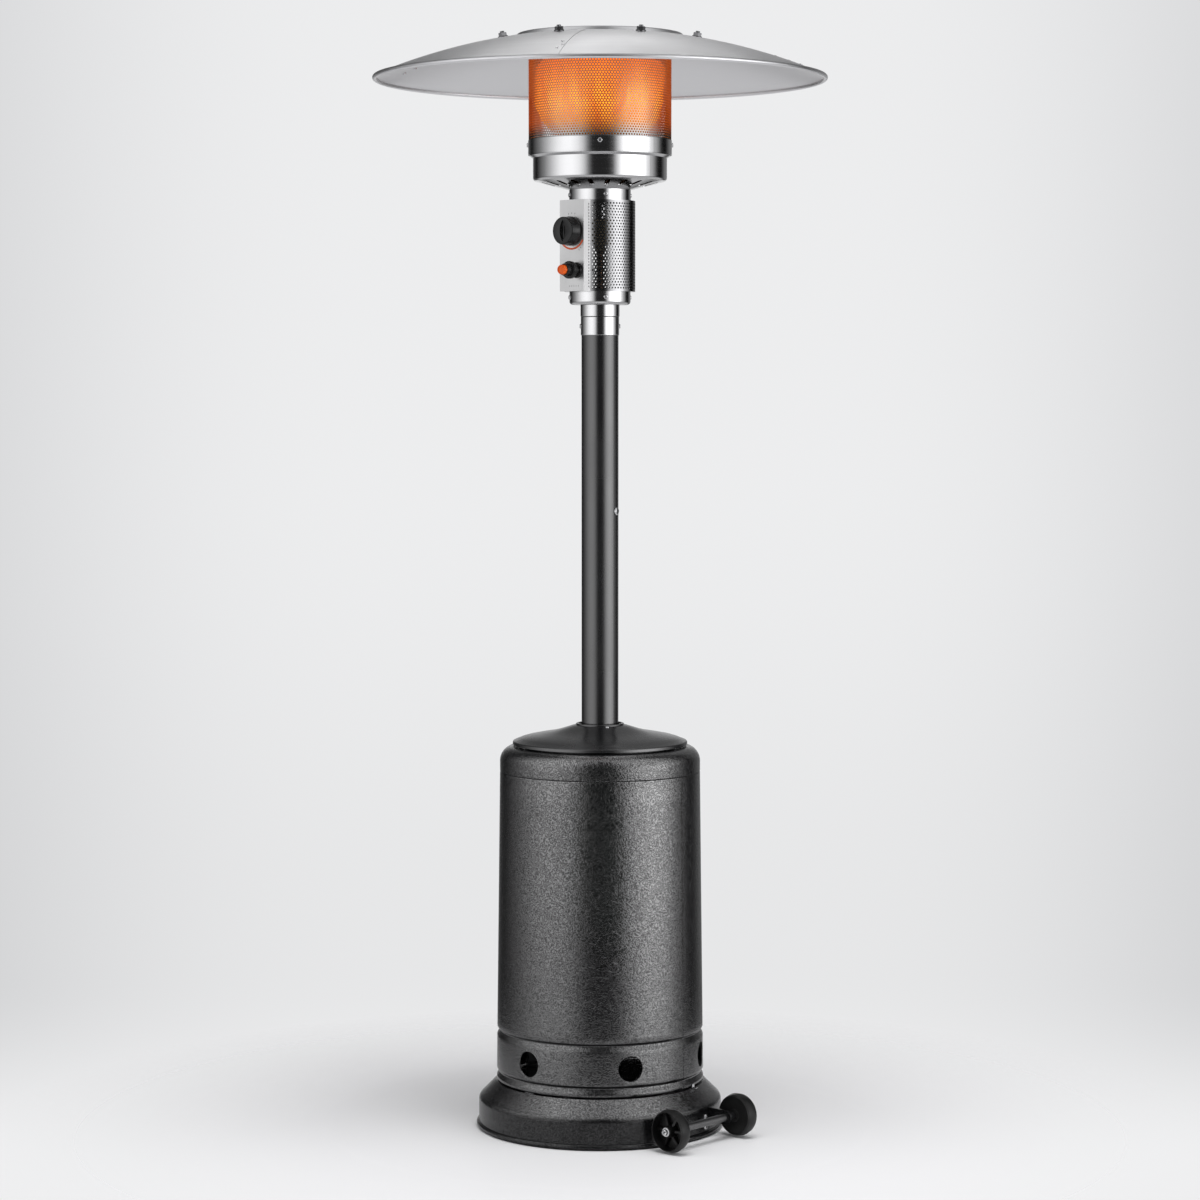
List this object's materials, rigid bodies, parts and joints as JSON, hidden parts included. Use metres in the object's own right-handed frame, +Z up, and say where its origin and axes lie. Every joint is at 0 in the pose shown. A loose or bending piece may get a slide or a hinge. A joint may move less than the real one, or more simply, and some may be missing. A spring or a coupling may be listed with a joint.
{
  "type": "patio heater",
  "caption": "Free-standing gas patio heater with weighted base, tank housing, post, knob and igniter, glowing perforated emitter and wide domed reflector.",
  "frame": {"origin": "on the floor under the post's axis", "axes": "+Z up along the post, the control panel faces -Y, the wheels are on +X"},
  "size_m": [0.904, 0.904, 2.1948],
  "materials": {
    "hammered_black": "black hammered paint",
    "satin_black": "satin black powder coat",
    "frame_black": "plain black paint",
    "cast_ballast": "bare cast iron",
    "stainless": "polished stainless steel",
    "panel_steel": "satin steel",
    "reflector_sheet": "brushed sheet",
    "fastener_steel": "zinc plated",
    "brass": "machined brass",
    "copper": "drawn copper",
    "black_plastic": "moulded black plastic",
    "wheel_plastic": "moulded black plastic",
    "orange_plastic": "glossy orange plastic",
    "orange_print": "screen print",
    "glowing_screen": "glowing perforated steel",
    "scorched_steel": "heat-darkened steel",
    "ceramic": "glazed ceramic"
  },
  "bodies": {
    "stand": {"base_pan": "hammered_black", "ballast_plate": "cast_ballast", "locating_lugs": "fastener_steel", "support_leg_1": "frame_black", "support_leg_2": "frame_black", "support_leg_3": "frame_black", "leg_bolts": "fastener_steel", "post_socket": "frame_black", "post": "satin_black", "post_screw": "fastener_steel", "pipe_clip": "frame_black", "gas_pipe": "copper", "inlet_fitting": "brass", "wheel_bracket": "hammered_black", "bracket_screws": "fastener_steel", "axle": "satin_black", "axle_bolts": "fastener_steel", "post_collar": "stainless", "collar_screws": "fastener_steel", "control_cup": "stainless", "cup_screws": "fastener_steel", "tilt_switch": "black_plastic", "frame_rods": "fastener_steel", "control_shroud": "stainless", "control_panel": "panel_steel", "heat_arc": "orange_print", "gas_valve": "brass", "igniter_collar": "black_plastic", "igniter_body": "black_plastic", "neck_ring": "stainless", "neck_screws": "fastener_steel", "burner_bowl": "stainless", "emitter_band": "stainless", "band_screws": "fastener_steel", "emitter_screen": "glowing_screen", "emitter_cap": "scorched_steel", "burner_tube": "scorched_steel", "main_burner": "scorched_steel", "pilot_burner": "brass", "thermocouple": "copper", "igniter_electrode": "ceramic", "reflector_standoffs": "fastener_steel", "reflector_carrier": "fastener_steel", "reflector": "reflector_sheet", "reflector_nuts": "fastener_steel"},
    "housing": {"housing_shell": "hammered_black", "housing_shoulder": "hammered_black"},
    "lid": {"lid": "satin_black"},
    "stem": {"valve_stem": "fastener_steel"},
    "knob": {"knob": "black_plastic"},
    "button": {"igniter_button": "orange_plastic"},
    "near_wheel": {"wheel_1": "wheel_plastic"},
    "far_wheel": {"wheel_2": "wheel_plastic"}
  },
  "joints": [
    {"name": "housing_lift", "type": "slide", "parent": "stand", "child": "housing", "axis": [0, 0, 1], "range_m": [0, 0.5]},
    {"name": "lid_lift", "type": "slide", "parent": "housing", "child": "lid", "axis": [0, 0, 1], "range_m": [0, 0.2]},
    {"name": "knob_turn", "type": "hinge", "parent": "stand", "child": "stem", "pos_m": [0, -0.0759, 1.7975], "axis": [0, -1, 0], "range_deg": [0, 225]},
    {"name": "knob_push", "type": "slide", "parent": "stem", "child": "knob", "axis": [0, 1, 0], "range_m": [0, 0.004], "stiffness_N_per_m": 600, "springref_m": -0.002},
    {"name": "igniter_press", "type": "slide", "parent": "stand", "child": "button", "axis": [0, 1, 0], "range_m": [0, 0.007], "stiffness_N_per_m": 900, "springref_m": -0.002},
    {"name": "near_wheel_spin", "type": "hinge", "parent": "stand", "child": "near_wheel", "pos_m": [0.282, -0.1, 0.0445], "axis": [0, 1, 0], "continuous": true},
    {"name": "far_wheel_spin", "type": "hinge", "parent": "stand", "child": "far_wheel", "pos_m": [0.282, 0.1, 0.0445], "axis": [0, 1, 0], "continuous": true}
  ]
}
